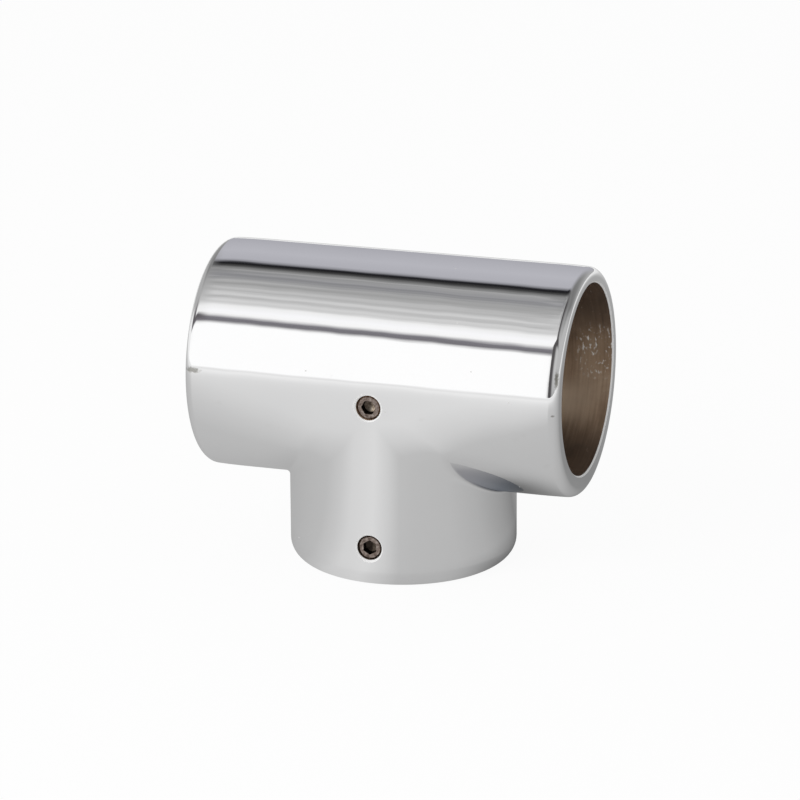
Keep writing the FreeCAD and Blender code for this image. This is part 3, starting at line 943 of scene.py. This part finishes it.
def tent_front(tree, angle, along):
    """What lies ahead: the front bands, tilted a little from left to right, with folds in the cloth above
    the seam. Towards the left the left bands take over, where the seam opens into a dark gap and the slit
    overhead has closed, then the left end bands, where the gap is widest, and last the pale left wall."""
    slant = between_values(tree, along, *SEAM_ENDS, *SEAM_SLANT)
    slant = maths(tree, "MULTIPLY", slant, step(tree, angle, 0.03, 0.2))
    slant = maths(tree, "MULTIPLY", slant, between_values(tree, angle, 0.26, 0.644, 1.0, 0.5))
    slanted = maths(tree, "ADD", angle, slant)
    folds = add(tree, "ShaderNodeTexNoise", {"Vector": add(tree, "ShaderNodeCombineXYZ", {
        0: slanted, 1: maths(tree, "MULTIPLY", along, 0.12)}).outputs[0], "Scale": 46.0, "Detail": 3.0})
    fold = maths(tree, "SUBTRACT", folds.outputs["Fac"], 0.5)
    fold = maths(tree, "MULTIPLY", fold, window(tree, slanted, *FOLDED_WINDOW))
    front = band_ramp(tree, slanted, FRONT_BANDS)
    for contrast, tone in ((FOLD_CONTRAST, FOLD_LIGHT), (-FOLD_CONTRAST, FOLD_DARK)):
        front = blend_colour(tree, maths(tree, "MULTIPLY", fold, contrast, clamp=True), front, tone)
    left = band_ramp(tree, angle, LEFT_BANDS)
    left_end = band_ramp(tree, angle, LEFT_END_BANDS)
    left = blend_colour(tree, step(tree, along, -0.62, -0.78), left, left_end)
    left = blend_colour(tree, step(tree, along, -0.93, -0.97), left, LEFT_WALL)
    return blend_colour(tree, step(tree, along, -0.362, -0.422), front, left)


# %% The whole tent
SLOT_START, SLOT_END, SLOT_TOP = (-0.176, -0.155), (0.62, 0.22), (0.66, 0.55)
SLOT_LEAN, SLOT_NARROWING, SLOT_SHARE = 0.4, 0.33, 0.9
SLOT_TONE = grey(52, 4, 2)


def tent(tree, direction):
    """Colour of the tent in a direction. Its angle round the X axis picks the band: 0 is level to the
    front, a half straight up and 1 level to the back. Towards +X the side bands take over, and between them
    stands the dark slot for the lens. The slot leans over and narrows towards its top, and ends at the
    slit overhead."""
    parts = add(tree, "ShaderNodeSeparateXYZ", {0: direction})
    along, ahead = parts.outputs[0], maths(tree, "MULTIPLY", parts.outputs[1], -1.0)
    angle = maths(tree, "DIVIDE", maths(tree, "ARCTAN2", parts.outputs[2], ahead), math.pi)
    side = blend_colour(tree, step(tree, along, 0.74, 0.9), band_ramp(tree, angle, SIDE_BANDS), SIDE_WALL)
    low = step(tree, angle, 0.37, 0.32)
    leaning = maths(tree, "MULTIPLY", step(tree, angle, 0.275, 0.33), SLOT_LEAN)
    leant = maths(tree, "SUBTRACT", along, leaning)
    quick_edge = maths(tree, "MULTIPLY", low, step(tree, leant, *SLOT_START))
    slow_edge = maths(tree, "MULTIPLY", maths(tree, "SUBTRACT", 1.0, low), step(tree, along, -0.05, 0.40))
    side_share = maths(tree, "ADD", quick_edge, slow_edge)
    colour = blend_colour(tree, side_share, tent_front(tree, angle, along), side)
    narrowed = maths(tree, "MULTIPLY_ADD", step(tree, angle, 0.30, 0.37), SLOT_NARROWING, leant)
    slot = maths(tree, "MULTIPLY", step(tree, leant, *SLOT_START), step(tree, narrowed, *SLOT_END))
    slot = maths(tree, "MULTIPLY", slot, step(tree, angle, *SLOT_TOP))
    return blend_colour(tree, maths(tree, "MULTIPLY", slot, SLOT_SHARE), colour, SLOT_TONE)


# %% World
PLAIN_LEVEL = 0.62
WHITE = (1, 1, 1, 1)
world = bpy.data.worlds.new("studio")
scene.world = world
world.use_nodes = True
tree = world.node_tree
tree.nodes.clear()
light_path = add(tree, "ShaderNodeLightPath")
direction = add(tree, "ShaderNodeTexCoord").outputs["Generated"]
reflected = add(tree, "ShaderNodeBackground", {"Color": tent(tree, direction)})
plain = add(tree, "ShaderNodeBackground", {"Color": (PLAIN_LEVEL, PLAIN_LEVEL, PLAIN_LEVEL, 1)})
white = add(tree, "ShaderNodeBackground", {"Color": WHITE})
lit = mix_shaders(tree, light_path.outputs["Is Glossy Ray"], plain, reflected)
seen = mix_shaders(tree, light_path.outputs["Is Camera Ray"], lit, white)
add(tree, "ShaderNodeOutputWorld", {"Surface": seen.outputs[0]})
print("world:", len(tree.nodes), "nodes, plain level", PLAIN_LEVEL)

# %% Floor
FLOOR_HALF = 6.0
# Painted light and shade of the floor as the metal mirrors it: angle round the foot in degrees, and level.
FLOOR_LIGHT_AND_SHADE = [(-180, 168), (-125, 168), (-90, 174), (-55, 182), (-40, 195), (-28, 209), (-8, 216), (4, 202),
               (14, 184), (25, 181), (57, 178), (83, 168), (97, 158), (114, 147), (135, 124), (160, 148),
               (180, 168)]
FLOOR_FAR, FLOOR_FARTHEST = grey(230), grey(252)
SHADE_WINDOW = [math.radians(angle) for angle in (60, 150, 24)]
FOOT_SHADE, FAR, FARTHEST = (36 * MM, 20 * MM), (80 * MM, 700 * MM), (0.8, 3.4)
MIRRORED_SHARE, CAMERA_SHARE = 0.9, 0.94
floor_mesh = bpy.data.meshes.new("floor")
corners = [(x * FLOOR_HALF, y * FLOOR_HALF, STEM_END_Z) for x, y in ((-1, -1), (1, -1), (1, 1), (-1, 1))]
floor_mesh.from_pydata(corners, [], [(0, 1, 2, 3)])
floor = bpy.data.objects.new("floor", floor_mesh)
scene.collection.objects.link(floor)
print("floor:", 2 * FLOOR_HALF, "m wide, at the stem's end")

# %% Look of the floor


def floor_in_metal(tree, place):
    """Tone of the floor as the metal mirrors it, all painted light and shade: a painted pool of light to the
    front left, a painted shadow behind on the right, painted shade close round the foot, and paler further
    away."""
    parts = add(tree, "ShaderNodeSeparateXYZ", {0: place})
    angle = maths(tree, "ARCTAN2", parts.outputs[0], maths(tree, "MULTIPLY", parts.outputs[1], -1.0))
    tones = ramp(tree, maths(tree, "MULTIPLY_ADD", angle, 0.5 / math.pi, 0.5),
                 [(0.5 + angle / 360, grey(level)) for angle, level in FLOOR_LIGHT_AND_SHADE])
    outward = add(tree, "ShaderNodeVectorMath", {0: place, 1: (1, 1, 0)}, operation="MULTIPLY").outputs[0]
    from_axis = add(tree, "ShaderNodeVectorMath", {0: outward}, operation="LENGTH").outputs["Value"]
    beside = window(tree, angle, *SHADE_WINDOW)
    side_share = maths(tree, "MULTIPLY_ADD", beside, 0.5, 0.1)
    shade = maths(tree, "MULTIPLY", step(tree, from_axis, *FOOT_SHADE), side_share)
    tones = blend_colour(tree, shade, tones, (0.0, 0.0, 0.0))
    tones = blend_colour(tree, step(tree, from_axis, *FAR), tones, FLOOR_FAR)
    return blend_colour(tree, step(tree, from_axis, *FARTHEST), tones, FLOOR_FARTHEST)


def pale_sheet():
    """Pale floor. The camera sees most of it as plain white, so its shadow stays soft, and metal sees it as
    a glow of painted light and shade."""
    material, tree, shader, place = new_material("pale_sheet")
    fibre = grain(tree, place, 3 * MM, detail=3)
    colour = blend_colour(tree, fibre, (0.88, 0.88, 0.88), (0.93, 0.93, 0.93))
    join(tree, shader, Base_Color=colour, Roughness=0.9, Specular_IOR_Level=0.0)
    # Metal sees a glow of this painted light and shade instead of the lit sheet.
    painted_floor_glow = add(tree, "ShaderNodeEmission", {"Color": floor_in_metal(tree, place)})
    light_path = add(tree, "ShaderNodeLightPath")
    glossy_share = maths(tree, "MULTIPLY", light_path.outputs["Is Glossy Ray"], MIRRORED_SHARE)
    mirrored = mix_shaders(tree, glossy_share, shader, painted_floor_glow)
    glow = add(tree, "ShaderNodeEmission", {"Color": WHITE})
    camera_share = maths(tree, "MULTIPLY", light_path.outputs["Is Camera Ray"], CAMERA_SHARE)
    mixed = mix_shaders(tree, camera_share, mirrored, glow)
    out = next(node for node in tree.nodes if node.type == "OUTPUT_MATERIAL")
    tree.links.new(mixed.outputs[0], out.inputs["Surface"])
    print("pale sheet:", len(tree.nodes), "nodes")
    return material


floor_mesh.materials.append(pale_sheet())

# %% [markdown]
# The key lamp
#
# One square lamp from the upper left gives the shadow on the sheet. The metal doesn't mirror it, because
# the bands of the tent already hold everything that it shows.

# %% Key lamp
KEY_PLACE = Vector((-0.32, -0.62, 0.42))
key_data = bpy.data.lights.new("key", "AREA")
key_data.shape = "SQUARE"
key_data.size = 0.5
key_data.energy = 3.0
key = bpy.data.objects.new("key", key_data)
key.matrix_world = Matrix.Translation(KEY_PLACE) @ (-KEY_PLACE).to_track_quat("-Z", "Y").to_matrix().to_4x4()
key.visible_glossy = False
scene.collection.objects.link(key)
print("key lamp:", key_data.energy, "W")
